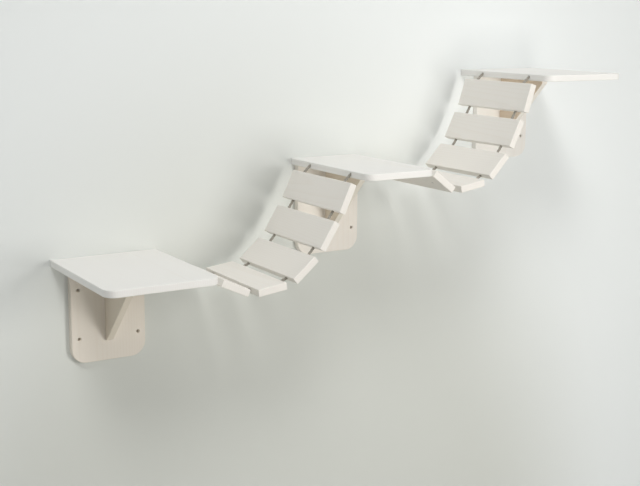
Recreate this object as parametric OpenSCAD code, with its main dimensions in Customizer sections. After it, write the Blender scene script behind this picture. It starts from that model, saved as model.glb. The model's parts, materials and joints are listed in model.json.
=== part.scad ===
// Wall-mounted climbing ladder for cats: three bracketed shelves joined by two rope bridges.
// X runs along the wall to the right, the wall is the plane Y = 0, the ladder stands out
// towards -Y, and Z is up. The origin is the centre of the lower wall plate's back face.

/* [Shelves] */
// Depth of the shelves, out from the wall
shelf_depth = 300; // [270:5:360]
// Thickness of the shelf boards
shelf_thickness = 14; // [13:0.5:20]
// Width of the lower shelf
lower_shelf_width = 222; // [190:2:300]
// Width of the middle shelf
middle_shelf_width = 166; // [166:2:300]
// Width of the upper shelf
upper_shelf_width = 220; // [190:2:300]
// Radius of the shelves' front corners
shelf_corner_radius = 22; // [10:1:30]
// Radius that takes the sharpness off the boards' edges
edge_radius = 1.6; // [0.8:0.2:2.4]

/* [Wall plates] */
// Width of the wall plates
plate_width = 156; // [120:2:156]
// Height of the wall plates under the shelves
plate_height = 200; // [190:5:260]
// Thickness of the wall plates
plate_thickness = 14; // [12:0.5:20]
// Radius of the wall plates' lower corners
plate_corner_radius = 30; // [10:1:35]
// Distance that the lower plate sits right of its shelf's middle
lower_plate_shift = 1; // [-5:1:10]
// Distance that the middle plate sits right of its shelf's middle
middle_plate_shift = 4; // [-5:1:5]
// Distance that the upper plate sits right of its shelf's middle
upper_plate_shift = 8; // [-5:1:10]
// Spacing of the wall-screw holes across a plate
wall_hole_spacing_x = 124; // [80:2:124]
// Spacing of the wall-screw holes up a plate
wall_hole_spacing_z = 100; // [80:2:120]
// Diameter of the wall-screw holes
wall_hole_diameter = 6; // [4:0.5:7]
// Diameter of the wall-screw holes' countersinks
countersink_diameter = 9; // [8:0.5:11]

/* [Gussets] */
// Thickness of the gusset boards
gusset_thickness = 15; // [13:1:22]
// Reach of a gusset under its shelf, from the wall
gusset_reach = 158; // [140:2:230]
// Drop of a gusset below its shelf
gusset_drop = 158; // [130:2:180]
// Height of the gusset's blunt nose
nose_height = 14; // [8:1:30]
// Depth of the gusset's blunt toe
toe_depth = 5; // [3:1:12]

/* [Slats] */
// Length of the slats, out from the wall
slat_length = 226; // [200:2:240]
// Width of the slats, along the bridge
slat_width = 62; // [50:1:80]
// Thickness of the slats
slat_thickness = 15; // [13:0.5:20]
// Distance from the wall to the slats' near ends
slat_wall_distance = 44; // [30:1:60]

/* [Ropes] */
// Diameter of the ropes
rope_diameter = 6; // [5:0.5:7]
// Spacing of the front and the back rope
rope_spacing = 156; // [120:2:180]
// Free length of rope between two boards
rope_gap = 20.5; // [16:0.5:30]
// Radial play of a rope in its bore
rope_play = 0.5; // [0.3:0.1:0.8]
// Diameter of the knots at the ropes' ends
knot_diameter = 9; // [8:0.5:10]
// Distance from a shelf's edge to the knots
knot_inset = 28; // [22:1:40]

/* [Fastenings] */
// Diameter of the wooden dowels
dowel_diameter = 6; // [5:1:8]
// Depth of a dowel in the shelf
dowel_depth_in_shelf = 9; // [6:1:10]
// Depth of a dowel in a plate or a gusset
dowel_depth_below = 16; // [10:1:24]
// Spacing of a plate's two dowels
plate_dowel_spacing = 96; // [60:2:110]
// Diameter of the screws between plate and gusset
gusset_screw_diameter = 4; // [3:0.5:5]
// Length of the screws between plate and gusset
gusset_screw_length = 40; // [30:1:60]
// Spacing of the two screws in a gusset
gusset_screw_spacing = 80; // [50:2:90]
// Diameter of the screws that pin the ropes in the slats
pin_diameter = 2.5; // [2:0.25:3]

/* [Hidden] */
$fn = 48;
overcut = 1;
// Hanging directions in degrees from level, from the lower board up: gap, slat, gap, slat ...
lower_bridge_angles = [-37, -25, -8, 7, 18, 40, 48, 58, 56, 65, 46];
upper_bridge_angles = [-20, -37, -2, 9, 30, 46, 55, 64, 61, 72, 42];
slat_count = 5;

rope_radius = rope_diameter / 2;
bore_radius = rope_radius + rope_play;
// Play of a rope's ball end in the next stretch's cup, where the rope bends
bend_play = 0.3;
// Play at the one bend of each bridge where the chain of boards is open
open_bend_play = 0.8;
slat_middle_y = slat_wall_distance + slat_length / 2;
rope_ys = [-slat_middle_y + rope_spacing / 2, -slat_middle_y - rope_spacing / 2];
// Room around a knot and above it in its pocket
pocket_play = 1;
knot_play = 0.3;
pocket_depth = shelf_thickness / 2 + knot_diameter / 2 + knot_play;
screw_play = 0.05;
// Sides of a rope's tube and how far an elbow reaches along the rope
rope_sides = 10;
elbow_reach = rope_radius * 0.8;
// The screws that pin a rope end just short of it
pin_play = 0.1;
pin_length = slat_thickness / 2 - rope_radius - pin_play;
dowel_play = 0.1;
dowel_end_play = 1;
screw_head_ratio = 2;
// Distance of a gusset's first dowel from the plate and of its second from the nose
gusset_dowel_margin = 30;

shelf_underside_z = plate_height / 2;
lower_shelf_x = -lower_plate_shift;
bridge_start = [lower_shelf_x + lower_shelf_width / 2, shelf_underside_z + shelf_thickness / 2];

// Points along a bridge, at the boards' mid-thickness: board edge, slat, slat, ... board edge
function stretch(index) = index % 2 == 0 ? rope_gap : slat_width;
function hang(point, angles, index) =
    index == len(angles)
        ? [point]
        : concat([point],
                 hang(point + stretch(index) * [cos(angles[index]), sin(angles[index])],
                      angles, index + 1));
function last_point(points) = points[len(points) - 1];
function half_way(points, index) = (points[index] + points[index + 1]) / 2;

lower_route = hang(bridge_start, lower_bridge_angles, 0);
lower_end = last_point(lower_route);
middle_shelf_x = lower_end[0] + middle_shelf_width / 2;
middle_lift = lower_end[1] - bridge_start[1];
upper_route = hang(lower_end + [middle_shelf_width, 0], upper_bridge_angles, 0);
upper_end = last_point(upper_route);
upper_shelf_x = upper_end[0] + upper_shelf_width / 2;
upper_lift = upper_end[1] - bridge_start[1];

// The outline of a board, width by height, whose two corners at the low end are round.
// Its straight end lies on the X axis and it reaches down to -height.
module board_outline(width, height, radius) {
    difference() {
        translate([-width / 2, -height])
            square([width, height]);
        for (side = [-1, 1])
            translate([side * (width / 2 - radius), -height + radius])
                difference() {
                    translate([side > 0 ? 0 : -radius - overcut, -radius - overcut])
                        square([radius + overcut, radius + overcut]);
                    circle(radius);
                }
    }
}

// The profile that rounds an upper edge off: X runs outwards from the edge, Y is up.
module rounding_profile() {
    difference() {
        translate([-edge_radius, -edge_radius])
            square(edge_radius + overcut);
        translate([-edge_radius, -edge_radius])
            circle(edge_radius);
    }
}

// What rounds off a straight edge at height zero. It starts at the origin and runs along -Y,
// and the board lies towards -X.
module edge_rounding(length) {
    rotate([90, 0, 0])
        linear_extrude(length)
            rounding_profile();
}

// What rounds off the rim of such a board's upper face, at height zero.
module rim_rounding(width, height, radius) {
    translate([width / 2 - radius, -height, 0])
        rotate([0, 0, -90])
            edge_rounding(width - 2 * radius);
    for (side = [0, 1])
        mirror([side, 0, 0]) {
            translate([width / 2, overcut, 0])
                edge_rounding(height - radius + overcut);
            translate([width / 2 - radius, -height + radius, 0])
                rotate([0, 0, -90])
                    rotate_extrude(angle = 90)
                        translate([radius, 0])
                            rounding_profile();
        }
}

// One bore from a shelf's edge to its knot pocket, and the pocket, open at the underside.
// The edge is at x = 0, the shelf lies towards -X, and the upper face is z = 0.
module rope_anchorage() {
    for (y = rope_ys)
        translate([0, y, 0]) {
            translate([-knot_inset, 0, -shelf_thickness / 2])
                rotate([0, 90, 0])
                    cylinder(h = knot_inset + overcut, r = bore_radius);
            translate([-knot_inset, 0, -shelf_thickness - overcut])
                cylinder(h = pocket_depth + overcut, r = knot_diameter / 2 + pocket_play);
        }
}

// Places of a bracket's dowels, from the plate's middle at the wall: two in the plate, two in
// the gusset.
function dowel_places() = [
    [-plate_dowel_spacing / 2, -plate_thickness / 2],
    [plate_dowel_spacing / 2, -plate_thickness / 2],
    [0, -plate_thickness - gusset_dowel_margin],
    [0, -gusset_reach + gusset_dowel_margin]
];

// The upright dowels of one bracket, around the shelf's underside at height zero.
module dowels(play, end_play) {
    for (place = dowel_places())
        translate([place[0], place[1], -dowel_depth_below + dowel_end_play - end_play])
            cylinder(h = dowel_depth_below + dowel_depth_in_shelf - 2 * dowel_end_play + 2 * end_play,
                     d = dowel_diameter + 2 * play);
}

// A shelf with round front corners. The flags say on which sides a bridge is tied to it.
module shelf(width, plate_shift, tied_left, tied_right) {
    difference() {
        translate([0, 0, -shelf_thickness])
            linear_extrude(shelf_thickness)
                board_outline(width, shelf_depth, shelf_corner_radius);
        rim_rounding(width, shelf_depth, shelf_corner_radius);
        translate([0, 0, -shelf_thickness])
            mirror([0, 0, 1])
                rim_rounding(width, shelf_depth, shelf_corner_radius);
        translate([plate_shift, 0, -shelf_thickness])
            dowels(dowel_play, dowel_end_play);
        if (tied_right)
            translate([width / 2, 0, 0])
                rope_anchorage();
        if (tied_left)
            translate([-width / 2, 0, 0])
                mirror([1, 0, 0])
                    rope_anchorage();
    }
}

// Heights of the screws into a gusset, below the shelf's underside.
function gusset_screw_drops() =
    [for (side = [-1, 1]) gusset_drop / 2 + side * gusset_screw_spacing / 2];

// The countersunk screws that hold the gusset from behind the plate, below height zero.
module gusset_screws(play) {
    head_radius = gusset_screw_diameter / 2 * screw_head_ratio;
    head_height = head_radius - gusset_screw_diameter / 2;
    for (drop = gusset_screw_drops())
        translate([0, 0, -drop])
            rotate([90, 0, 0]) {
                cylinder(h = head_height, r1 = head_radius + play, r2 = gusset_screw_diameter / 2 + play);
                cylinder(h = gusset_screw_length + 2 * play, d = gusset_screw_diameter + 2 * play);
            }
}

// A wall plate: its top edge carries the shelf, and its four holes take the wall screws.
module wall_plate() {
    sink_radius = countersink_diameter / 2;
    sink_depth = sink_radius - wall_hole_diameter / 2;
    difference() {
        rotate([90, 0, 0])
            difference() {
                linear_extrude(plate_thickness)
                    board_outline(plate_width, plate_height, plate_corner_radius);
                translate([0, 0, plate_thickness])
                    rim_rounding(plate_width, plate_height, plate_corner_radius);
            }
        for (x = [-1, 1], z = [-1, 1])
            translate([x * wall_hole_spacing_x / 2, 0, -plate_height / 2 + z * wall_hole_spacing_z / 2])
                rotate([90, 0, 0]) {
                    translate([0, 0, -overcut])
                        cylinder(h = plate_thickness + 2 * overcut, d = wall_hole_diameter);
                    translate([0, 0, plate_thickness - sink_depth])
                        cylinder(h = sink_depth + overcut, r1 = wall_hole_diameter / 2,
                                 r2 = sink_radius + overcut);
                }
        dowels(dowel_play, dowel_end_play);
        gusset_screws(screw_play);
    }
}

// A gusset: a tapered board that stands out from the plate and stiffens the shelf.
module gusset() {
    difference() {
        translate([-gusset_thickness / 2, 0, 0])
            rotate([90, 0, 90])
                linear_extrude(gusset_thickness)
                    polygon([
                        [-plate_thickness, 0],
                        [-gusset_reach, 0],
                        [-gusset_reach, -nose_height],
                        [-plate_thickness - toe_depth, -gusset_drop],
                        [-plate_thickness, -gusset_drop]
                    ]);
        slope_roundings();
        dowels(dowel_play, dowel_end_play);
        gusset_screws(screw_play);
    }
}

// What rounds off both edges of the gusset's sloping face.
module slope_roundings() {
    run = gusset_reach - plate_thickness - toe_depth;
    rise = gusset_drop - nose_height;
    slope_length = sqrt(run * run + rise * rise);
    for (side = [0, 1])
        mirror([side, 0, 0])
            translate([gusset_thickness / 2, -gusset_reach, -nose_height])
                rotate([90 + atan2(run, rise), 0, 0])
                    translate([0, overcut, 0])
                        edge_rounding(slope_length + 2 * overcut);
}

// The length of a stretch between two points of a route, and its angle from level.
function span(from, to) = norm(to - from);
function slope(from, to) = atan2(to[1] - from[1], to[0] - from[0]);

// Sets a piece at a route point and turns it so that its X axis runs along the board.
module along(from, to) {
    translate([from[0], 0, from[1]])
        rotate([0, -slope(from, to), 0])
            children();
}

// The screws that pin both ropes in a slat, driven in from the slat's underside.
module pins(length, play) {
    head_height = pin_diameter / 2;
    for (y = rope_ys)
        translate([slat_width / 2, y, -slat_thickness / 2]) {
            cylinder(h = head_height, r1 = pin_diameter + play, r2 = pin_diameter / 2 + play);
            cylinder(h = length, d = pin_diameter + 2 * play);
        }
}

// One slat, from its low edge at x = 0 to its high edge, with a bore for each rope.
module slat() {
    difference() {
        translate([slat_width / 2, -slat_middle_y, 0])
            slat_board();
        for (y = rope_ys)
            translate([-overcut, y, 0])
                rotate([0, 90, 0])
                    cylinder(h = slat_width + 2 * overcut, r = bore_radius);
        pins(slat_thickness / 2, screw_play);
    }
}

// The slat's board around the origin, with all the edges of its faces rounded.
module slat_board() {
    difference() {
        cube([slat_width, slat_length, slat_thickness], center = true);
        for (face = [0, 1])
            mirror([0, 0, face]) {
                for (turn = [0, 180])
                    rotate([0, 0, turn])
                        translate([slat_width / 2, slat_length / 2 + overcut, slat_thickness / 2])
                            edge_rounding(slat_length + 2 * overcut);
                for (turn = [-90, 90])
                    rotate([0, 0, turn])
                        translate([slat_length / 2, slat_width / 2 + overcut, slat_thickness / 2])
                            edge_rounding(slat_width + 2 * overcut);
            }
    }
}

// A cross-section of a rope: its middle on the route, the route's angle there and its radius.
function section(point, angle, radius) = [point, angle, radius];
function ahead(point, angle, distance) = point + distance * [cos(angle), sin(angle)];

// The sections of an elbow, where the route turns from one angle to the next.
function elbow(point, angle, next_angle) = [
    section(ahead(point, angle, -elbow_reach), angle, rope_radius),
    section(point, (angle + next_angle) / 2, rope_radius),
    section(ahead(point, next_angle, elbow_reach), next_angle, rope_radius)
];

// The sections of a ball end around a bend, seen from the rope that runs away from it.
function ball_end(bend, angle) = [
    for (latitude = [-80, -50, -25, 0])
        section(ahead(bend, angle, rope_radius * sin(latitude)), angle, rope_radius * cos(latitude))
];

// The sections of a cup end, in which the next rope's ball end turns.
function cup_end(bend, angle, play) = [
    for (share = [1, 0.8, 0.5, 0.15])
        section(ahead(bend, angle, -cup_depth(share * rope_radius, rope_radius + play)),
                angle, share * rope_radius)
];
function cup_depth(radius, cup_radius) = sqrt(cup_radius * cup_radius - radius * radius);

// The sections of the knot at a rope's end: a bead that the rope runs into.
function knot_end(middle, angle) = [
    for (latitude = [-80, -50, -20, 10, 35, 55])
        section(ahead(middle, angle, knot_diameter / 2 * sin(latitude)), angle,
                knot_diameter / 2 * cos(latitude))
];

// The outline points of one section, for a rope in the plane y = 0.
function section_points(cut) = [
    for (side = [0 : rope_sides - 1])
        let (turn = side * 360 / rope_sides)
            [cut[0][0] - sin(cut[1]) * cut[2] * cos(turn),
             cut[2] * sin(turn),
             cut[0][1] + cos(cut[1]) * cut[2] * cos(turn)]
];

// One rope as a tube through its sections, closed at both ends.
module rope_through(sections) {
    last = len(sections) - 1;
    points = [for (cut = sections) each section_points(cut)];
    walls = [
        for (ring = [0 : last - 1], side = [0 : rope_sides - 1])
            let (a = ring * rope_sides + side,
                 b = ring * rope_sides + (side + 1) % rope_sides)
                each [[a, b, b + rope_sides], [a, b + rope_sides, a + rope_sides]]
    ];
    start_cap = [[for (side = [rope_sides - 1 : -1 : 0]) side]];
    end_cap = [[for (side = [0 : rope_sides - 1]) last * rope_sides + side]];
    polyhedron(points, concat(start_cap, walls, end_cap));
}

// Sets a rope in both of its places, front and back.
module at_both_ropes() {
    for (y = rope_ys)
        translate([0, y, 0])
            children();
}

// Both ropes of one slat, from the middle of the gap below it to the middle of the gap above.
// The low end is a ball and the high end a cup, so that the ropes can bend in the gaps.
module slat_ropes(route, number) {
    low_end = route[2 * number - 1];
    high_end = route[2 * number];
    low_bend = half_way(route, 2 * number - 2);
    high_bend = half_way(route, 2 * number);
    low_angle = slope(low_bend, low_end);
    slat_angle = slope(low_end, high_end);
    high_angle = slope(high_end, high_bend);
    at_both_ropes()
        rope_through(concat(
            ball_end(low_bend, low_angle),
            elbow(low_end, low_angle, slat_angle),
            elbow(high_end, slat_angle, high_angle),
            cup_end(high_bend, high_angle, bend_play)
        ));
}

// Both rope ends in a bridge's lower shelf: the knot in its pocket, the stretch in the bore
// and half the gap. Here the chain of boards is open, so this end has the wider cup.
module low_knots(route) {
    edge = route[0];
    bend = half_way(route, 0);
    angle = slope(edge, bend);
    at_both_ropes()
        rope_through(concat(
            knot_end(edge - [knot_inset, 0], 0),
            elbow(edge, 0, angle),
            cup_end(bend, angle, open_bend_play)
        ));
}

// Both rope ends in a bridge's higher shelf, from the ball end in the gap to the knot.
module high_knots(route) {
    last = len(route) - 1;
    edge = route[last];
    bend = half_way(route, last - 1);
    angle = slope(bend, edge);
    backwards = knot_end(edge + [knot_inset, 0], 180);
    at_both_ropes()
        rope_through(concat(
            ball_end(bend, angle),
            elbow(edge, angle, 0),
            [for (index = [len(backwards) - 1 : -1 : 0])
                section(backwards[index][0], 0, backwards[index][2])]
        ));
}

// Sets a bracket's pieces: its plate's middle line and its shelf's underside go here.
module at_bracket(shelf_x, plate_shift, lift) {
    translate([shelf_x + plate_shift, 0, shelf_underside_z + lift])
        children();
}

module at_lower() {
    at_bracket(lower_shelf_x, lower_plate_shift, 0)
        children();
}

module at_middle() {
    at_bracket(middle_shelf_x, middle_plate_shift, middle_lift)
        children();
}

module at_upper() {
    at_bracket(upper_shelf_x, upper_plate_shift, upper_lift)
        children();
}

module placed_shelf(width, plate_shift, tied_left, tied_right) {
    color("antiquewhite")
        translate([-plate_shift, 0, shelf_thickness])
            shelf(width, plate_shift, tied_left, tied_right);
}

module placed_slat(route, number) {
    color("bisque")
        along(route[2 * number - 1], route[2 * number])
            slat();
}

module placed_ropes(route, number) {
    color("dimgray")
        slat_ropes(route, number);
}

module placed_pins(route, number) {
    color("silver")
        along(route[2 * number - 1], route[2 * number])
            pins(pin_length, 0);
}

module placed_plate() {
    color("wheat")
        wall_plate();
}

module placed_gusset() {
    color("tan")
        gusset();
}

module placed_dowels() {
    color("peru")
        dowels(0, 0);
}

module placed_gusset_screws() {
    color("silver")
        gusset_screws(0);
}

at_lower() placed_shelf(lower_shelf_width, lower_plate_shift, false, true);  // lower_shelf
at_lower() placed_plate();  // lower_wall_plate
at_lower() placed_gusset();  // lower_gusset
at_lower() placed_dowels();  // lower_dowels
at_lower() placed_gusset_screws();  // lower_gusset_screws

at_middle() placed_shelf(middle_shelf_width, middle_plate_shift, true, true);  // middle_shelf
at_middle() placed_plate();  // middle_wall_plate
at_middle() placed_gusset();  // middle_gusset
at_middle() placed_dowels();  // middle_dowels
at_middle() placed_gusset_screws();  // middle_gusset_screws

at_upper() placed_shelf(upper_shelf_width, upper_plate_shift, true, false);  // upper_shelf
at_upper() placed_plate();  // upper_wall_plate
at_upper() placed_gusset();  // upper_gusset
at_upper() placed_dowels();  // upper_dowels
at_upper() placed_gusset_screws();  // upper_gusset_screws

for (number = [1 : slat_count]) {
    placed_slat(lower_route, number);
    placed_ropes(lower_route, number);
    placed_pins(lower_route, number);
    placed_slat(upper_route, number);
    placed_ropes(upper_route, number);
    placed_pins(upper_route, number);
}

color("dimgray") low_knots(lower_route);  // lower_bridge_low_knots
color("dimgray") high_knots(lower_route);  // lower_bridge_high_knots
color("dimgray") low_knots(upper_route);  // upper_bridge_low_knots
color("dimgray") high_knots(upper_route);  // upper_bridge_high_knots
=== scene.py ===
# %% [markdown]
# A wall-mounted cat ladder: three shelves on brackets and two rope bridges of wooden slats.
# The boards come ready made from the construction model, at their real size. This script
# dresses them in white-washed pine, twists the ropes, cuts the screws and lights the wall.

# %% Load the boards
import json
import math

import bpy
from mathutils import Matrix, Vector


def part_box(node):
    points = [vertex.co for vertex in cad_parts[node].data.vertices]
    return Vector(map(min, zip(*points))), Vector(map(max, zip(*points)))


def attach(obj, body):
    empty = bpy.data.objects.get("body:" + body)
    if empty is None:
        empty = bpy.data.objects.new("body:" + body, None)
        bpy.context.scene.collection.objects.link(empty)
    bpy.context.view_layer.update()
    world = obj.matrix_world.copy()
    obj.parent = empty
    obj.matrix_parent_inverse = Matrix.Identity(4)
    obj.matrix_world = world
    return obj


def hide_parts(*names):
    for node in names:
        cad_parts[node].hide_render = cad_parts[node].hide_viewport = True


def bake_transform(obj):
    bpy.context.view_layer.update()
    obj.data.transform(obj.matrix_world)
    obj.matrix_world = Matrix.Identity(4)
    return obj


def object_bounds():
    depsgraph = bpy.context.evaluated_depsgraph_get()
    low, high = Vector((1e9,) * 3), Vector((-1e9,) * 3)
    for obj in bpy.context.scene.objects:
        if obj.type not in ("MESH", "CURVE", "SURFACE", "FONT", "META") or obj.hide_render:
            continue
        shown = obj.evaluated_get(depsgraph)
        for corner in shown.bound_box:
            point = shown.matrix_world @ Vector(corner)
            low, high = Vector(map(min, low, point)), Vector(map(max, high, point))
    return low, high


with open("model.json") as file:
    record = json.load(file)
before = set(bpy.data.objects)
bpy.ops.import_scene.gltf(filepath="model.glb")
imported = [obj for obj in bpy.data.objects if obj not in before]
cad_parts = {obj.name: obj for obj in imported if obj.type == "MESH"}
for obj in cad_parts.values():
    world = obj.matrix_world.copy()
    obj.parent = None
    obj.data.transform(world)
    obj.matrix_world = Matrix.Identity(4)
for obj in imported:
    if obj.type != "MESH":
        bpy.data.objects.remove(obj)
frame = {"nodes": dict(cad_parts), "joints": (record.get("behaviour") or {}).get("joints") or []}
cad_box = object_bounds()
nodes = frame["nodes"]
bpy.ops.object.select_all(action="DESELECT")


def rounded(box):
    """A box's two corners in short numbers, to print."""
    return [tuple(round(c, 4) for c in corner) for corner in box]


print("loaded", len(nodes), "pieces, box", rounded(cad_box))

# %% [markdown]
# The photograph was taken from the left of the ladder, a little above it, with a long lens that
# looks to the right along the wall. The camera's place and turn were measured from the
# boards' corners. The picture's middle isn't where the lens points, so a small shift moves it.

# %% Set the camera
PHOTO_WIDTH = 640
PHOTO_HEIGHT = 486
CAMERA_PLACE = Vector((-0.81275, -2.13263, 0.58786))
CAMERA_YAW = math.radians(31.7)
CAMERA_PITCH = math.radians(9.65)
CAMERA_ROLL = math.radians(-0.44)
FOCAL_PIXELS = 1146.93
LENS_AXIS_PIXEL_Y = 210
SENSOR_WIDTH_MM = 36


def add_to_scene(name, data):
    """Puts new data into the scene, as an object."""
    item = bpy.data.objects.new(name, data)
    bpy.context.scene.collection.objects.link(item)
    return item


def make_camera():
    """A camera at the photograph's viewpoint, with its field of view and horizon."""
    data = bpy.data.cameras.new("camera")
    data.sensor_width = SENSOR_WIDTH_MM
    data.lens = FOCAL_PIXELS / PHOTO_WIDTH * SENSOR_WIDTH_MM
    data.shift_y = (LENS_AXIS_PIXEL_Y - PHOTO_HEIGHT / 2) / PHOTO_WIDTH
    camera = add_to_scene("camera", data)
    forward = Vector((math.sin(CAMERA_YAW) * math.cos(CAMERA_PITCH),
                      math.cos(CAMERA_YAW) * math.cos(CAMERA_PITCH),
                      -math.sin(CAMERA_PITCH)))
    level_right = Vector((math.cos(CAMERA_YAW), -math.sin(CAMERA_YAW), 0))
    level_down = forward.cross(level_right)
    right = math.cos(CAMERA_ROLL) * level_right + math.sin(CAMERA_ROLL) * level_down
    down = math.cos(CAMERA_ROLL) * level_down - math.sin(CAMERA_ROLL) * level_right
    turn = Matrix((right, -down, -forward)).transposed()
    camera.matrix_world = Matrix.Translation(CAMERA_PLACE) @ turn.to_4x4()
    bpy.context.scene.camera = camera
    return camera


camera = make_camera()
print("camera lens", round(camera.data.lens, 2), "mm, shift", round(camera.data.shift_y, 4))

# %% [markdown]
# Everything between two shelves hangs on a route: from the lower shelf's edge, through five
# slats, to the higher shelf's edge. The ropes follow it at the boards' mid-thickness. It could
# be typed in as points, but it is read from the boards, so that it fits them whatever their
# place. A slat's box gives its middle and, because its width and thickness are known, its slant.

# %% Find the bridges' routes
BRIDGES = {"lower": ("lower", "middle"), "upper": ("middle", "upper")}
SLAT_COUNT = 5
SLAT_NUMBERS = range(1, SLAT_COUNT + 1)
SLAT_WIDTH = 0.062
SLAT_THICKNESS = 0.015
joint_places = {joint["name"]: Vector(joint["pos_m"]) for joint in frame["joints"]}


def box_middle(node):
    """The middle of a construction piece's box."""
    low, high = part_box(node)
    return (low + high) / 2


def slat_ends(bridge, number):
    """The middles of a slat's low and high edge.

    A slat that is w wide, t thick and slants by an angle a fills a box of the width
    w cos a + t sin a and the height w sin a + t cos a. Together they give cos a and sin a.
    """
    low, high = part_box(f"{bridge}_bridge_slat_{number}")
    size = high - low
    spread = SLAT_WIDTH ** 2 - SLAT_THICKNESS ** 2
    run = (SLAT_WIDTH * size.x - SLAT_THICKNESS * size.z) / spread
    rise = (SLAT_WIDTH * size.z - SLAT_THICKNESS * size.x) / spread
    middle = (low + high) / 2
    next_bend = joint_places[f"{bridge}_rope_bend_{number}"]
    climbs = 1 if next_bend.z > middle.z else -1
    half = Vector((run, 0, climbs * rise)).normalized() * SLAT_WIDTH / 2
    return middle - half, middle + half


def shelf_edge(shelf, side):
    """The middle of a shelf's left (-1) or right (1) edge."""
    low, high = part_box(f"{shelf}_shelf")
    middle = (low + high) / 2
    return Vector((high.x if side > 0 else low.x, middle.y, middle.z))


def bridge_route(bridge):
    """Points along a bridge: shelf edge, slat edges in pairs, shelf edge, with y set to zero."""
    low_shelf, high_shelf = BRIDGES[bridge]
    points = [shelf_edge(low_shelf, 1)]
    for number in SLAT_NUMBERS:
        points.extend(slat_ends(bridge, number))
    points.append(shelf_edge(high_shelf, -1))
    return [Vector((point.x, 0, point.z)) for point in points]


routes = {bridge: bridge_route(bridge) for bridge in BRIDGES}
for bridge, route in routes.items():
    gaps = [round((route[i + 1] - route[i]).length * 1000, 1) for i in range(0, len(route), 2)]
    print(bridge, "bridge, gaps between its boards in mm:", gaps)

# %% [markdown]
# A material is a tree of nodes, which can be drawn by hand in the shader editor. In a script
# each node takes several lines, so a few helpers place the kinds that come up again and again.
# Where a helper takes a value, it may be a socket to link or a plain value to set.


# %% Make helpers for nodes
def plug(tree, value, socket):
    """Links a socket to an input, or sets the input to a plain value."""
    if isinstance(value, bpy.types.NodeSocket):
        tree.links.new(value, socket)
    else:
        socket.default_value = value


def add_math(tree, operation, first, second):
    """A Math node on two numbers."""
    node = tree.nodes.new("ShaderNodeMath")
    node.operation = operation
    for value, socket in zip((first, second), node.inputs):
        plug(tree, value, socket)
    return node.outputs[0]


def add_vector_math(tree, operation, *operands):
    """A Vector Math node on one to three vectors, which gives a vector or a length."""
    node = tree.nodes.new("ShaderNodeVectorMath")
    node.operation = operation
    for value, socket in zip(operands, node.inputs):
        plug(tree, value, socket)
    return node.outputs["Value" if operation in ("LENGTH", "DISTANCE") else "Vector"]


def add_noise(tree, vector, scale, detail, output="Fac"):
    """A noise texture; scale is in cycles per unit, as one number or as three."""
    if isinstance(scale, tuple):
        vector = add_vector_math(tree, "MULTIPLY", vector, scale)
        scale = 1
    node = tree.nodes.new("ShaderNodeTexNoise")
    tree.links.new(vector, node.inputs["Vector"])
    node.inputs["Scale"].default_value = scale
    node.inputs["Detail"].default_value = detail
    return node.outputs[output]


def add_range(tree, value, low, high, to_low=0.0, to_high=1.0, ramp="LINEAR"):
    """A Map Range node that clamps."""
    node = tree.nodes.new("ShaderNodeMapRange")
    node.interpolation_type = ramp
    tree.links.new(value, node.inputs["Value"])
    node.inputs["From Min"].default_value = low
    node.inputs["From Max"].default_value = high
    node.inputs["To Min"].default_value = to_low
    node.inputs["To Max"].default_value = to_high
    return node.outputs["Result"]


def mix_colours(tree, share, first, second):
    """The first colour where share is 0, the second where it is 1."""
    node = tree.nodes.new("ShaderNodeMix")
    node.data_type = "RGBA"
    tree.links.new(share, node.inputs["Factor"])
    for name, value in (("A", first), ("B", second)):
        plug(tree, value, next(s for s in node.inputs if s.name == name and s.type == "RGBA"))
    return next(s for s in node.outputs if s.type == "RGBA")


def add_bump(tree, height, strength, depth, shader):
    """Roughens a shader's surface by a height mask whose full height is depth in metres."""
    bump = tree.nodes.new("ShaderNodeBump")
    bump.inputs["Strength"].default_value = strength
    bump.inputs["Distance"].default_value = depth
    tree.links.new(height, bump.inputs["Height"])
    tree.links.new(bump.outputs["Normal"], shader.inputs["Normal"])


def show_mixed(tree, share, first, second, output):
    """Shows the first shader where share is 0, the second where it is 1."""
    mix = tree.nodes.new("ShaderNodeMixShader")
    for value, socket in zip((share, first, second), mix.inputs):
        tree.links.new(value, socket)
    tree.links.new(mix.outputs[0], tree.nodes[output].inputs["Surface"])


def object_place(tree):
    """The place on a piece, in metres from the ladder's origin."""
    return tree.nodes.new("ShaderNodeTexCoord").outputs["Object"]


def new_material(name):
    """A new material, its node tree and its shader."""
    material = bpy.data.materials.new(name)
    material.use_nodes = True
    return material, material.node_tree, material.node_tree.nodes["Principled BSDF"]


print("node helpers ready")

# %% [markdown]
# The boards are pine under a thin white wash. Pine has rings, which a flat cut shows as long
# flames, and fine fibres along the grain. A picture of wood would need a map on every board and
# would end at its edges. Here both come from the piece's own coordinates, so that the pattern
# runs through a board from its face to its end, as real grain does. Every board's finish uses
# the effect, so it is a group that takes coordinates with the grain along Y.

# %% Build the grain group
GRAIN_MASKS = ("Rings", "Fibres", "Patches")
RING_WIDTH = 0.0042
RING_WANDER = 0.009               # how far the rings stray from true circles
RING_STRETCH = (1, 0.035, 1)      # turns circles into long flames along the grain
WANDER_SCALE = (14, 2.2, 14)      # the noises' scales are in cycles per metre
FIBRE_SCALE = (900, 9, 900)
PATCH_SCALE = (22, 5, 22)
LATE_WOOD_STARTS = (0.35, 0.88)   # shares of a ring's width, over which it darkens
LATE_WOOD_ENDS = (0.9, 1.0)
LATE_WOOD_POWER = 1.8
NOISE_MIDDLE = (0.5, 0.5, 0.5)


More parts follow.
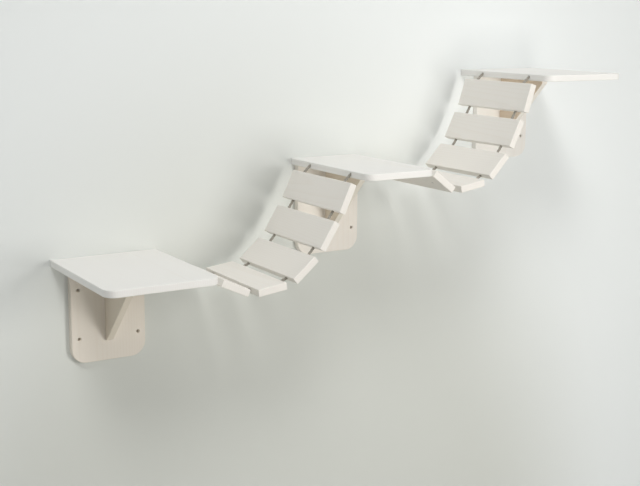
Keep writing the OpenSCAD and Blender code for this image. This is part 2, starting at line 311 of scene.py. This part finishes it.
def build_grain_group():
    """Masks from 0 to 1: rings of dark late wood, fibres along Y, and soft patches."""
    group = bpy.data.node_groups.new("pine_grain", "ShaderNodeTree")
    group.interface.new_socket("Vector", in_out="INPUT", socket_type="NodeSocketVector")
    for mask in GRAIN_MASKS:
        group.interface.new_socket(mask, in_out="OUTPUT", socket_type="NodeSocketFloat")
    vector = group.nodes.new("NodeGroupInput").outputs["Vector"]
    end = group.nodes.new("NodeGroupOutput")
    wander = add_noise(group, vector, WANDER_SCALE, 2, "Color")
    centred = add_vector_math(group, "SUBTRACT", wander, NOISE_MIDDLE)
    stray = (RING_WANDER, 0, RING_WANDER)
    shifted = add_vector_math(group, "MULTIPLY_ADD", centred, stray, vector)
    stretched = add_vector_math(group, "MULTIPLY", shifted, RING_STRETCH)
    radius = add_vector_math(group, "LENGTH", stretched)
    phase = add_math(group, "FRACT", add_math(group, "DIVIDE", radius, RING_WIDTH), 0)
    rise = add_range(group, phase, *LATE_WOOD_STARTS)
    soft_rise = add_math(group, "POWER", rise, LATE_WOOD_POWER)
    fall = add_range(group, phase, *LATE_WOOD_ENDS, 1.0, 0.0)
    rings = add_math(group, "MULTIPLY", soft_rise, fall)
    fibres = add_noise(group, vector, FIBRE_SCALE, 3)
    patches = add_noise(group, vector, PATCH_SCALE, 3)
    for mask, value in zip(GRAIN_MASKS, (rings, fibres, patches)):
        group.links.new(value, end.inputs[mask])
    return group


grain_group = build_grain_group()
print("grain group with", len(grain_group.nodes), "nodes")

# %% [markdown]
# The wash is a white stain rubbed into the pine. It hides most of the grain, sinks
# deeper into the soft early wood and leaves the hard late wood a little warmer. Plain white
# paint with a wood picture shining through would look flat, so the wash is mixed with bare
# pine by the grain's own masks, which also roughen and lift the surface.

# %% Mix the washed pine
BARE_PINE = (0.62, 0.46, 0.30, 1)
FIBRE_RANGE = (0.35, 0.75)        # of the fibre noise, from no bare wood to the most
PATCH_RANGE = (0.3, 0.8)
FINE_SHARE = 0.35                 # of fibres and patches, beside the rings' 1
GLOSS_RANGE = (0.2, 0.8)          # of the fibre noise, for the roughness
PINE_ROUGHNESS = (0.5, 0.68)
FIBRE_HEIGHT = 0.6
RING_HEIGHT = 0.25
PINE_BUMP = (0.25, 0.0003)        # strength and depth
WASH_IOR = 1.45
SIDE_BLEND = (0.0012, 0.0002)     # depths under a gusset's sides, where edge turns to side


def painted_shade_side_mask(tree, place, node):
    """1 on the left and right side of a board that stands across the wall, 0 on its edges; it
    places the painted-shade side wash.
    """
    low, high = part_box(node)
    half_thickness = (high.x - low.x) / 2
    parts = tree.nodes.new("ShaderNodeSeparateXYZ")
    tree.links.new(place, parts.inputs[0])
    off_middle = add_math(tree, "SUBTRACT", parts.outputs["X"], box_middle(node).x)
    reach = add_math(tree, "ABSOLUTE", off_middle, 0)
    return add_range(tree, reach, *(half_thickness - depth for depth in SIDE_BLEND))


def washed_pine(node, wash, bare_share, turn, pith, shaded_side_wash=None):
    """White-washed pine that shows a share of bare wood, with the log's middle at pith; a shaded
    side wash paints shade on a gusset's sides.
    """
    material, tree, shader = new_material(f"{node}_pine")
    place = object_place(tree)
    # Painted shade: a gusset's sides get the darker, warmer side wash.
    if shaded_side_wash:
        wash = mix_colours(tree, painted_shade_side_mask(tree, place, node), wash, shaded_side_wash)
    mapping = tree.nodes.new("ShaderNodeMapping")
    mapping.vector_type = "TEXTURE"
    mapping.inputs["Location"].default_value = pith
    mapping.inputs["Rotation"].default_value = turn
    tree.links.new(place, mapping.inputs["Vector"])
    grain = tree.nodes.new("ShaderNodeGroup")
    grain.node_tree = grain_group
    tree.links.new(mapping.outputs["Vector"], grain.inputs["Vector"])
    rings, fibres, patches = (grain.outputs[mask] for mask in GRAIN_MASKS)

    late_wood = add_math(tree, "MULTIPLY", rings, bare_share)
    fibre = add_range(tree, fibres, *FIBRE_RANGE, 0.0, bare_share * FINE_SHARE)
    patch = add_range(tree, patches, *PATCH_RANGE, 0.0, bare_share * FINE_SHARE)
    bare = add_math(tree, "ADD", add_math(tree, "ADD", late_wood, fibre), patch)
    tree.links.new(mix_colours(tree, bare, wash, BARE_PINE), shader.inputs["Base Color"])
    roughness = add_range(tree, fibres, *GLOSS_RANGE, *PINE_ROUGHNESS)
    tree.links.new(roughness, shader.inputs["Roughness"])
    fibre_height = add_math(tree, "MULTIPLY", fibres, FIBRE_HEIGHT)
    ring_height = add_math(tree, "MULTIPLY", rings, RING_HEIGHT)
    height = add_math(tree, "SUBTRACT", fibre_height, ring_height)
    add_bump(tree, height, *PINE_BUMP, shader)
    shader.inputs["IOR"].default_value = WASH_IOR
    return material


print("washed pine ready")

# %% [markdown]
# One finish for all boards would look like plastic. Each board is cut from another place in a
# log, so each gets its own offset and turn of the grain. The plates' and gussets' wash colours
# hold painted light and shade: the lower bracket is painted darker and warmer as shade and the
# upper one paler as light, and the higher gussets' edges are painted paler as light than their
# sides, which are painted darker and warmer as shade. A mask of the distance from a gusset's
# middle tells edges and sides apart.

# %% Dress the boards
SHELF_WASH = (0.91, 0.90, 0.873, 1)
SLAT_WASH = (0.88, 0.85, 0.80, 1)
# Painted light and shade: the lower plate's wash is darker for shade, the upper one's paler for
# light.
PLATE_WASHES_WITH_PAINTED_LIGHT = {
    "lower": (0.865, 0.805, 0.72, 1),
    "middle": (0.91, 0.865, 0.80, 1),
    "upper": (0.965, 0.94, 0.895, 1),
}
# Edges, then sides: the paler edges are painted light, the darker, warmer sides painted shade;
# the lower gusset is painted darker as shade.
GUSSET_WASHES_WITH_PAINTED_LIGHT_AND_SHADE = {   # of the edges, of the sides
    "lower": ((0.82, 0.75, 0.64, 1), (0.82, 0.75, 0.64, 1)),
    "middle": ((0.86, 0.81, 0.72, 1), (0.84, 0.75, 0.63, 1)),
    "upper": ((0.94, 0.90, 0.84, 1), (0.84, 0.70, 0.56, 1)),
}
BARE_SHARE = {"shelf": 0.05, "wall_plate": 0.055, "gusset": 0.09, "slat": 0.045}
GRAIN_ALONG_Y = (0, 0, 0)
GRAIN_ALONG_Z = (math.radians(90), 0, 0)
LOG_TURN = math.radians(137.5)    # from board to board, so that no two cuts are alike
LOG_STEP = 0.07                   # along the log, from board to board
PITH_DISTANCE = 0.05              # of the nearest boards from the log's middle
PITH_STEP = 0.012
PITH_STEPS = 4


def log_place(number):
    """A different place in the log for each board, from a fixed rule."""
    turn = LOG_TURN * number
    distance = PITH_DISTANCE + PITH_STEP * (number % PITH_STEPS)
    return Vector((distance * math.cos(turn), LOG_STEP * number, distance * math.sin(turn)))


def list_boards():
    """Each board's piece, kind, wash (with painted light and shade on the brackets), turn of the
    grain and painted-shade wash of the sides.
    """
    boards = []
    for bracket, (lit_edge_wash, shaded_side_wash) in GUSSET_WASHES_WITH_PAINTED_LIGHT_AND_SHADE.items():
        plate_wash_with_painted_light = PLATE_WASHES_WITH_PAINTED_LIGHT[bracket]
        boards += [
            (f"{bracket}_shelf", "shelf", SHELF_WASH, GRAIN_ALONG_Y, None),
            (f"{bracket}_wall_plate", "wall_plate", plate_wash_with_painted_light, GRAIN_ALONG_Z, None),
            (f"{bracket}_gusset", "gusset", lit_edge_wash, GRAIN_ALONG_Y, shaded_side_wash),
        ]
    for bridge in BRIDGES:
        boards += [(f"{bridge}_bridge_slat_{number}", "slat", SLAT_WASH, GRAIN_ALONG_Y, None)
                   for number in SLAT_NUMBERS]
    return boards


def dress(node, material):
    """Gives a construction piece one material."""
    mesh = nodes[node].data
    mesh.materials.clear()
    mesh.materials.append(material)


boards = list_boards()
for number, (node, kind, wash, turn, shaded_side_wash) in enumerate(boards):
    pith = box_middle(node) + log_place(number)
    dress(node, washed_pine(node, wash, BARE_SHARE[kind], turn, pith, shaded_side_wash))
print("washed boards:", len(boards))

# %% [markdown]
# The dowels inside the joints are turned from beech and the screws are plated steel. Hardly
# any of them shows, so a plain colour would do for the picture, but each has its own finish,
# because the model can be taken apart.

# %% Dress the dowels and screws
BEECH_COLOURS = ((0.66, 0.48, 0.29, 1), (0.52, 0.35, 0.19, 1))   # ground, flecks
BEECH_FLECK_SCALE = (900, 900, 120)
BEECH_FLECK_RANGE = (0.35, 0.7)
BEECH_ROUGHNESS = 0.6
STEEL_COLOURS = ((0.52, 0.51, 0.48, 1), (0.62, 0.61, 0.58, 1))
STEEL_CLOUD_SCALE = 700
STEEL_CLOUD_RANGE = (0.3, 0.7)
STEEL_ROUGHNESS = (0.28, 0.42)


def bare_beech():
    """Unfinished beech with its short dark flecks."""
    material, tree, shader = new_material("bare_beech")
    flecks = add_noise(tree, object_place(tree), BEECH_FLECK_SCALE, 2)
    mask = add_range(tree, flecks, *BEECH_FLECK_RANGE)
    tree.links.new(mix_colours(tree, mask, *BEECH_COLOURS), shader.inputs["Base Color"])
    shader.inputs["Roughness"].default_value = BEECH_ROUGHNESS
    return material


def plated_steel():
    """Zinc-plated steel, a little cloudy."""
    material, tree, shader = new_material("plated_steel")
    cloud = add_noise(tree, object_place(tree), STEEL_CLOUD_SCALE, 3)
    roughness = add_range(tree, cloud, *STEEL_CLOUD_RANGE, *STEEL_ROUGHNESS)
    tree.links.new(roughness, shader.inputs["Roughness"])
    tree.links.new(mix_colours(tree, cloud, *STEEL_COLOURS), shader.inputs["Base Color"])
    shader.inputs["Metallic"].default_value = 1
    return material


beech = bare_beech()
steel = plated_steel()
for bracket in PLATE_WASHES_WITH_PAINTED_LIGHT:
    dress(f"{bracket}_dowels", beech)
    dress(f"{bracket}_gusset_screws", steel)
print("dowels and gusset screws dressed")

# %% [markdown]
# The ropes are three strands twisted together. A smooth tube with a twisted bump would show
# a straight outline, so each strand is a curve that winds round the rope's route, given a
# thickness and then made a mesh. First comes the route: a fine chain of points, rounded where
# the rope bends, each with its distance from the knot.

# %% Prepare the ropes' route
ROPE_SPACING = 0.156
ROPE_STEP = 0.00125
CORNER_ROUNDING = 0.006
CORNER_PARTS = 8
KNOT_INSET = 0.028                # of a knot's middle from the shelf's edge
slats_middle_y = box_middle("lower_bridge_slat_1").y
ROPE_PLACES = (slats_middle_y + ROPE_SPACING / 2, slats_middle_y - ROPE_SPACING / 2)


def round_corners(points):
    """A polyline's points, with each corner turned into a short arc-like curve."""
    rounded_off = [points[0]]
    for before, corner, after in zip(points, points[1:], points[2:]):
        start = corner + (before - corner).normalized() * CORNER_ROUNDING
        end = corner + (after - corner).normalized() * CORNER_ROUNDING
        for part in range(CORNER_PARTS + 1):
            share = part / CORNER_PARTS
            arriving, leaving = start.lerp(corner, share), corner.lerp(end, share)
            rounded_off.append(arriving.lerp(leaving, share))
    rounded_off.append(points[-1])
    return rounded_off


def evenly_spaced(points, step):
    """Points about a step apart along a polyline, each with its distance from the start."""
    lengths = [0.0]
    for first, second in zip(points, points[1:]):
        lengths.append(lengths[-1] + (second - first).length)
    count = round(lengths[-1] / step)
    marks = []
    segment = 0
    for number in range(count + 1):
        distance = lengths[-1] * number / count
        while segment < len(lengths) - 2 and lengths[segment + 1] < distance:
            segment += 1
        share = (distance - lengths[segment]) / (lengths[segment + 1] - lengths[segment])
        marks.append((points[segment].lerp(points[segment + 1], share), distance))
    return marks


def route_marks(route):
    """The whole rope's points, from knot to knot, each with its distance along the rope."""
    first_knot = route[0] - Vector((KNOT_INSET, 0, 0))
    last_knot = route[-1] + Vector((KNOT_INSET, 0, 0))
    return evenly_spaced(round_corners([first_knot] + route + [last_knot]), ROPE_STEP)


rope_marks = {bridge: route_marks(route) for bridge, route in routes.items()}
for bridge, marks in rope_marks.items():
    print(bridge, "ropes are", round(marks[-1][1] * 1000), "mm long from knot to knot")

# %% [markdown]
# Rope fibre is dull and a little fuzzy. The fibres lie along each strand. Lines drawn in the
# piece's coordinates would cut straight across the twist, but the strand's own map follows it,
# so the fine lines are drawn there. Soil gathers in patches along the rope.

# %% Make the rope's fibre material
FIBRE_COLOURS = ((0.27, 0.25, 0.21, 1), (0.48, 0.45, 0.39, 1))
FIBRE_LINE_SCALE = (60, 26, 1)    # in cycles per map width
FIBRE_LINE_RANGE = (0.3, 0.7)
SOIL_COLOUR = (0.23, 0.21, 0.175, 1)
SOIL_SCALE = 90
SOIL_RANGE = (0.45, 0.75)
MOST_SOIL = 0.4
FUZZ_SCALE = 1400
FUZZ_HEIGHT = 0.4
FIBRE_BUMP = (0.6, 0.0003)        # strength and depth
FIBRE_ROUGHNESS = 0.88
FIBRE_SHEEN = 0.25
FIBRE_SHEEN_ROUGHNESS = 0.5


def rope_fibre():
    """Dull fibre with fine lines along each strand."""
    material, tree, shader = new_material("rope_fibre")
    strand_map = tree.nodes.new("ShaderNodeUVMap")
    strand_map.uv_map = "UVMap"
    lines = add_noise(tree, strand_map.outputs["UV"], FIBRE_LINE_SCALE, 3)
    place = object_place(tree)
    fuzz = add_noise(tree, place, FUZZ_SCALE, 2)
    soil = add_noise(tree, place, SOIL_SCALE, 2)
    clean = mix_colours(tree, add_range(tree, lines, *FIBRE_LINE_RANGE), *FIBRE_COLOURS)
    soil_share = add_range(tree, soil, *SOIL_RANGE, 0, MOST_SOIL)
    tree.links.new(mix_colours(tree, soil_share, clean, SOIL_COLOUR), shader.inputs["Base Color"])
    shader.inputs["Roughness"].default_value = FIBRE_ROUGHNESS
    shader.inputs["Sheen Weight"].default_value = FIBRE_SHEEN
    shader.inputs["Sheen Roughness"].default_value = FIBRE_SHEEN_ROUGHNESS
    height = add_math(tree, "ADD", lines, add_math(tree, "MULTIPLY", fuzz, FUZZ_HEIGHT))
    add_bump(tree, height, *FIBRE_BUMP, shader)
    return material


fibre_material = rope_fibre()
print("rope fibre ready")

# %% [markdown]
# A rope has to bend in each gap when the bridge sways. One long piece could hardly follow five
# slats, so the rope is cut in the middle of every slat, where nobody sees the cut, and each
# stretch runs from one slat to the next. The strands of a stretch become one mesh, front and
# back rope together.

# %% Twist the strands
STRAND_COUNT = 3
STRAND_RADIUS = 0.00150
STRAND_OFFSET = 0.00148           # of a strand's middle from the rope's
STRAND_ROUNDNESS = 2
TWIST_LENGTH = 0.021
CUT_TOLERANCE = 1e-6
SMOOTH_ANGLE = math.radians(50)
ACROSS = Vector((0, 1, 0))


def upright_on(along):
    """The direction that stands square on a route and on the way across the bridge."""
    return Vector((-along.z, 0, along.x))


def strand_points(marks, low, high, strand, rope_y):
    """One strand's points between two distances along the rope."""
    points = []
    for index, (point, distance) in enumerate(marks):
        if low - CUT_TOLERANCE <= distance <= high + CUT_TOLERANCE:
            before = marks[max(index - 1, 0)][0]
            after = marks[min(index + 1, len(marks) - 1)][0]
            upright = upright_on((after - before).normalized())
            turn = 2 * math.pi * (distance / TWIST_LENGTH + strand / STRAND_COUNT)
            offset = upright * math.cos(turn) + ACROSS * math.sin(turn)
            points.append(Vector((point.x, rope_y, point.z)) + offset * STRAND_OFFSET)
    return points


def round_curve(name, points, radius, roundness, closed=False):
    """A round cord through the points: a closed ring, or open with flat ends."""
    data = bpy.data.curves.new(name, "CURVE")
    data.dimensions = "3D"
    data.bevel_depth = radius
    data.bevel_resolution = roundness
    data.use_fill_caps = not closed
    spline = data.splines.new("POLY")
    spline.points.add(len(points) - 1)
    for spot, point in zip(spline.points, points):
        spot.co = (*point, 1)
    spline.use_cyclic_u = closed
    return add_to_scene(name, data)


def join_pieces(parts, name):
    """Makes one mesh of several pieces, shaded smooth."""
    bpy.ops.object.select_all(action="DESELECT")
    for part in parts:
        part.select_set(True)
    bpy.context.view_layer.objects.active = parts[0]
    bpy.ops.object.convert(target="MESH")
    bpy.ops.object.join()
    piece = bpy.context.view_layer.objects.active
    bpy.ops.object.transform_apply(location=True, rotation=True, scale=True)
    bpy.ops.object.shade_smooth_by_angle(angle=SMOOTH_ANGLE)
    piece.name = name
    piece.data.name = name
    bpy.ops.object.select_all(action="DESELECT")
    return piece


def rope_stretch(bridge, name, low, high, knots=()):
    """Front and back rope between two distances along the route, with any knots."""
    marks = rope_marks[bridge]
    strands = []
    for side, rope_y in enumerate(ROPE_PLACES):
        for strand in range(STRAND_COUNT):
            points = strand_points(marks, low, high, strand, rope_y)
            strand_name = f"strand_{side}_{strand}"
            strands.append(round_curve(strand_name, points, STRAND_RADIUS, STRAND_ROUNDNESS))
    piece = join_pieces(strands + list(knots), name)
    piece.data.materials.clear()
    piece.data.materials.append(fibre_material)
    return piece


print("strand tools ready")

# %% [markdown]
# A rope ends in a stopper knot that sits in its pocket under the shelf. A ball would fill the
# pocket too, but not look tied. The knot is wound from the same rope: a short, fat coil that
# closes on itself, like an overhand knot pulled tight.

# %% Tie the knots
KNOT_RADIUS = 0.0030
KNOT_LIFT = 0.5                   # of the coil along the rope, as a share of its radius
KNOT_POINTS = 72
KNOT_ROPE_RADIUS = 0.00155
KNOT_ROUNDNESS = 3


def knot_curve(name, middle):
    """A tight trefoil of rope round the rope's own line, which runs along X."""
    points = []
    for number in range(KNOT_POINTS):
        turn = 2 * math.pi * number / KNOT_POINTS
        reach = KNOT_RADIUS * (2 + math.cos(3 * turn)) / 3
        lift = KNOT_RADIUS * math.sin(3 * turn) * KNOT_LIFT
        swing = Vector((lift, reach * math.cos(2 * turn), reach * math.sin(2 * turn)))
        points.append(middle + swing)
    return round_curve(name, points, KNOT_ROPE_RADIUS, KNOT_ROUNDNESS, closed=True)


def knots_at(bridge, end):
    """The front and the back knot at one end of a bridge's ropes."""
    middle = rope_marks[bridge][end][0]
    return [knot_curve(f"knot_{side}", Vector((middle.x, rope_y, middle.z)))
            for side, rope_y in enumerate(ROPE_PLACES)]


print("knots ready")

# %% [markdown]
# Now each bridge's ropes are laid in stretches: from the lower knots to the first gap's middle,
# on to the first slat's middle, then from slat to slat, and last into the higher shelf. The
# chain of boards is open in the first gap, so the rope is cut there and nothing bends across.

# %% Lay the ropes
SIDE_BODY = "brackets"


def distance_at(bridge, point):
    """The distance along the rope of the mark nearest to a point of the route."""
    return min(rope_marks[bridge], key=lambda mark: (mark[0] - point).length)[1]


def lay_ropes(bridge):
    """Makes a bridge's rope pieces and hangs the low rope ends and the first slat's stub on their
    bodies.
    """
    route = routes[bridge]
    middles = [(route[2 * n - 1] + route[2 * n]) / 2 for n in SLAT_NUMBERS]
    cuts = [distance_at(bridge, point) for point in middles]
    open_cut = distance_at(bridge, (route[0] + route[1]) / 2)
    rope_end = rope_marks[bridge][-1][1]

    low = rope_stretch(bridge, f"{bridge}_bridge_low_rope_ends", 0, open_cut, knots_at(bridge, 0))
    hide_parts(f"{bridge}_bridge_low_knots")
    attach(low, SIDE_BODY)
    stub = rope_stretch(bridge, f"{bridge}_bridge_rope_to_slat_1", open_cut, cuts[0])
    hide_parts(f"{bridge}_bridge_rope_1")
    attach(stub, f"{bridge}_slat_1")

    for number in SLAT_NUMBERS:
        last = number == SLAT_COUNT
        end = rope_end if last else cuts[number]
        knots = knots_at(bridge, -1) if last else []
        name = f"{bridge}_bridge_rope_over_gap_{number}"
        piece = rope_stretch(bridge, name, cuts[number - 1], end, knots)
        replaced = f"{bridge}_bridge_high_knots" if last else f"{bridge}_bridge_rope_{number + 1}"
        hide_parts(replaced)
        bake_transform(piece)
    return len(cuts) + 2


for bridge in BRIDGES:
    print(bridge, "rope pieces:", lay_ropes(bridge))

# %% [markdown]
# A small countersunk screw goes through each slat's underside into the rope, so that the slats
# can't slide together. A cylinder gives the shank. Its ends are extruded into head and tip,
# which keeps the screw one closed skin, and two bars cut the cross recess out of the head.

# %% Model the small screw
SCREW_HEAD_RADIUS = 0.0025
SCREW_HEAD_HEIGHT = 0.00125
SCREW_RIM = 0.0001
SCREW_SHANK_RADIUS = 0.00125
SCREW_SIDES = 32
SCREW_LENGTH = 0.0044
SCREW_TIP_LENGTH = 0.0008
SCREW_TIP_SHARE = 0.2             # of the shank's thickness, left at the tip
RECESS_WIDTH = 0.0007
RECESS_LENGTH = 0.0030
RECESS_DEPTH = 0.0008
CUT_MARGIN = 0.0005
END_FACING = 0.9                  # least share of a face's normal along Z, for an end


def select_end(piece, side):
    """Selects in edit mode the end faces that look down (-1) or up (1)."""
    bpy.ops.mesh.select_all(action="DESELECT")
    bpy.ops.object.mode_set(mode="OBJECT")
    for face in piece.data.polygons:
        face.select = face.normal.z * side > END_FACING
    bpy.ops.object.mode_set(mode="EDIT")


def extrude_end(height, widening):
    """Extrudes the selected end face along Z and widens or narrows it about the axis."""
    bpy.ops.mesh.extrude_region_move(TRANSFORM_OT_translate={"value": (0, 0, height)})
    bpy.ops.transform.resize(value=(widening, widening, 1), center_override=(0, 0, 0))


def cut_recess(screw):
    """Takes a cross out of the head, which faces down at height zero."""
    height = RECESS_DEPTH + CUT_MARGIN
    middle = (0, 0, height / 2 - CUT_MARGIN)
    for length, width in ((RECESS_LENGTH, RECESS_WIDTH), (RECESS_WIDTH, RECESS_LENGTH)):
        bpy.ops.mesh.primitive_cube_add(size=1, location=middle, scale=(length, width, height))
        bar = bpy.context.active_object
        cut = screw.modifiers.new("recess", "BOOLEAN")
        cut.operation = "DIFFERENCE"
        cut.solver = "EXACT"
        cut.object = bar
        bpy.context.view_layer.objects.active = screw
        bpy.ops.object.modifier_apply(modifier="recess")
        bpy.data.objects.remove(bar)


def model_screw():
    """A countersunk screw that points up, with its head's face at height zero."""
    shank_length = SCREW_LENGTH - SCREW_HEAD_HEIGHT - SCREW_TIP_LENGTH
    shank_middle = (0, 0, SCREW_HEAD_HEIGHT + shank_length / 2)
    bpy.ops.mesh.primitive_cylinder_add(vertices=SCREW_SIDES, radius=SCREW_SHANK_RADIUS,
                                        depth=shank_length, location=shank_middle)
    screw = bpy.context.active_object
    bpy.ops.object.transform_apply(location=True, rotation=True, scale=True)
    bpy.ops.object.mode_set(mode="EDIT")
    select_end(screw, -1)
    extrude_end(SCREW_RIM - SCREW_HEAD_HEIGHT, SCREW_HEAD_RADIUS / SCREW_SHANK_RADIUS)
    extrude_end(-SCREW_RIM, 1 - SCREW_RIM / SCREW_HEAD_RADIUS)
    select_end(screw, 1)
    extrude_end(SCREW_TIP_LENGTH, SCREW_TIP_SHARE)
    bpy.ops.object.mode_set(mode="OBJECT")
    cut_recess(screw)
    screw.data.materials.append(steel)
    return screw


small_screw = model_screw()
print("small screw with", len(small_screw.data.polygons), "faces")

# %% [markdown]
# Every slat has two such screws, one for each rope. They are copies of the one screw, each with
# its own mesh, turned so that it stands square on the slat's underside. The two screws of
# a slat become one piece that rides on it.


# %% Place the small screws
def place_screws(screw):
    """Copies the screw under every slat, once for each rope."""
    for bridge, route in routes.items():
        for number in SLAT_NUMBERS:
            low_end, high_end = route[2 * number - 1], route[2 * number]
            along = (high_end - low_end).normalized()
            upright = upright_on(along)
            foot = (low_end + high_end) / 2 - upright * SLAT_THICKNESS / 2
            turn = Matrix((along, ACROSS, upright)).transposed().to_4x4()
            copies = []
            for rope_y in ROPE_PLACES:
                copy = add_to_scene(screw.name, screw.data.copy())
                place = Matrix.Translation(Vector((foot.x, rope_y, foot.z)))
                copy.data.transform(place @ turn)
                copies.append(copy)
            piece = join_pieces(copies, f"{bridge}_bridge_screws_{number}")
            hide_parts(f"{bridge}_bridge_pins_{number}")
            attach(piece, f"{bridge}_slat_{number}")
    bpy.data.objects.remove(screw)


place_screws(small_screw)
print("screws placed under", SLAT_COUNT * len(BRIDGES), "slats")

# %% [markdown]
# The ladder hangs on a plain pale wall above a plain floor. Both are seen through from
# behind, so that the ladder's back can be looked at as well. A ray that starts right at the
# wall also passes it, which lets the lamp at the back light the plates' backs. The wall is
# dimmest below the ladder and brightens outwards from there. Lamps alone could make that fall
# of light, but they would light the boards unevenly too, so part of it is painted shade: the
# wall's and the floor's colours darken towards a place below the ladder.

# %% Build the wall and the floor
WALL_Y = 0.0004
FLOOR_Z = -0.95
STAGE_WIDTH = 9
WALL_HEIGHT = 4.0
FLOOR_DEPTH = 6
# Painted shade: the stage colours go from dimmest near DIM_PLACE to brightest farther out.
WALL_COLOURS_WITH_PAINTED_SHADE = ((0.714, 0.731, 0.69, 1), (0.95, 0.982, 0.98, 1))       # dimmest, brightest
FLOOR_COLOURS_WITH_PAINTED_SHADE = ((0.64, 0.635, 0.61, 1), (0.68, 0.675, 0.65, 1))
CONTACT_DISTANCE = 0.003
DIM_PLACE = (0.6, 0, -1.03)       # the dimmest place, in the squeezed coordinates
DIM_SQUEEZE = (1.55, 1, 1)
DIM_RANGE = (1.0, 1.81)
STAGE_ROUGHNESS = 0.9
STAGE_SHEEN = 0.2
PLASTER_SCALE = 260
PLASTER_BUMP = (0.05, 0.0004)     # strength and depth


def stage_material(name, colours):
    """A matt surface, painted darker towards a place below the ladder as shade, that is clear
    from behind and for rays that start right at it.
    """
    material, tree, shader = new_material(name)
    shader.inputs["Roughness"].default_value = STAGE_ROUGHNESS
    shader.inputs["Specular IOR Level"].default_value = STAGE_SHEEN
    place = object_place(tree)
    # Painted shade: the colour darkens towards the dimmest place below the ladder.
    squeezed = add_vector_math(tree, "MULTIPLY", place, DIM_SQUEEZE)
    reach = add_vector_math(tree, "DISTANCE", squeezed, DIM_PLACE)
    share = add_range(tree, reach, *DIM_RANGE, ramp="SMOOTHSTEP")
    tree.links.new(mix_colours(tree, share, *colours), shader.inputs["Base Color"])
    add_bump(tree, add_noise(tree, place, PLASTER_SCALE, 3), *PLASTER_BUMP, shader)
    geometry = tree.nodes.new("ShaderNodeNewGeometry")
    path = tree.nodes.new("ShaderNodeLightPath")
    near = add_math(tree, "LESS_THAN", path.outputs["Ray Length"], CONTACT_DISTANCE)
    unseen = add_math(tree, "SUBTRACT", 1.0, path.outputs["Is Camera Ray"])
    passes = add_math(tree, "MULTIPLY", near, unseen)
    clear = add_math(tree, "MAXIMUM", geometry.outputs["Backfacing"], passes)
    see_through = tree.nodes.new("ShaderNodeBsdfTransparent")
    show_mixed(tree, clear, shader.outputs[0], see_through.outputs[0], "Material Output")
    return material


def stage_plane(name, middle, depth, turn, colours):
    """A plane as wide as the stage, for the picture only and not part of the ladder."""
    bpy.ops.mesh.primitive_plane_add(size=1, location=middle, rotation=turn)
    plane = bpy.context.active_object
    plane.name = name
    plane.scale = (STAGE_WIDTH, depth, 1)
    bpy.ops.object.transform_apply(location=True, rotation=True, scale=True)
    plane.data.materials.append(stage_material(f"{name}_paint", colours))
    bpy.ops.object.select_all(action="DESELECT")


ladder_middle = (cad_box[0] + cad_box[1]) / 2
wall_middle = (ladder_middle.x, WALL_Y, FLOOR_Z + WALL_HEIGHT / 2)
floor_middle = (ladder_middle.x, WALL_Y - FLOOR_DEPTH / 2, FLOOR_Z)
stage_plane("wall", wall_middle, WALL_HEIGHT, (math.radians(90), 0, 0), WALL_COLOURS_WITH_PAINTED_SHADE)
stage_plane("floor", floor_middle, FLOOR_DEPTH, (0, 0, 0), FLOOR_COLOURS_WITH_PAINTED_SHADE)
print("wall and floor stand")

# %% [markdown]
# The shadows in the photograph show where its light came from. A thin crisp one left of the
# lower wall plate comes from a tall window on the right, a broad one below the shelves from
# a soft source high on the left, and a pale ceiling and the world fill the rest. A window is
# tall and narrow, so it blurs the shadows of level edges and leaves those of upright edges
# sharp. A lamp behind lights the ladder's back.


# %% Light the scene
def area_lamp(name, place, target, size, power, colour):
    """A rectangular lamp, width by height, that shines at the target."""
    data = bpy.data.lights.new(name, "AREA")
    data.shape = "RECTANGLE"
    data.size, data.size_y = size
    data.energy = power
    data.color = colour
    lamp = add_to_scene(name, data)
    direction = Vector(target) - Vector(place)
    lamp.location = place
    lamp.rotation_mode = "QUATERNION"
    lamp.rotation_quaternion = direction.to_track_quat("-Z", "Y")


def light_world(colour, strength, seen_colour):
    """An even fill, with its own paler colour where the camera or a reflection sees it."""
    world = bpy.data.worlds.new("studio")
    bpy.context.scene.world = world
    world.use_nodes = True
    tree = world.node_tree
    fill = tree.nodes["Background"]
    fill.inputs["Color"].default_value = colour
    fill.inputs["Strength"].default_value = strength
    seen = tree.nodes.new("ShaderNodeBackground")
    seen.inputs["Color"].default_value = seen_colour
    path = tree.nodes.new("ShaderNodeLightPath")
    eye = add_math(tree, "MAXIMUM", path.outputs["Is Camera Ray"], path.outputs["Is Glossy Ray"])
    eye = add_math(tree, "MAXIMUM", eye, path.outputs["Is Transmission Ray"])
    show_mixed(tree, eye, fill.outputs[0], seen.outputs[0], "World Output")


area_lamp("window", place=(1.05, -2.0, 0.32), target=(0.5, 0, 0.15),
          size=(0.63, 1.03), power=18.4, colour=(1.0, 0.98, 0.945))
area_lamp("high_left", place=(-2.06, -4.56, 6.2), target=(0.5, 0, 0.15),
          size=(2.3, 2.3), power=212, colour=(1.0, 0.995, 0.98))
area_lamp("ceiling", place=(0.6, -0.9, 3.2), target=(0.5, -0.2, 0),
          size=(2.0, 1.5), power=12, colour=(1.0, 1.0, 0.99))
area_lamp("back", place=(0.5, 2.2, 0.8), target=(0.5, 0, 0.2),
          size=(1.5, 1.5), power=12, colour=(1.0, 1.0, 1.0))
light_world(colour=(0.96, 0.98, 1.0, 1), strength=0.145, seen_colour=(0.86, 0.875, 0.86, 1))
bpy.context.scene.view_settings.view_transform = "Standard"
print("lamps and world set")
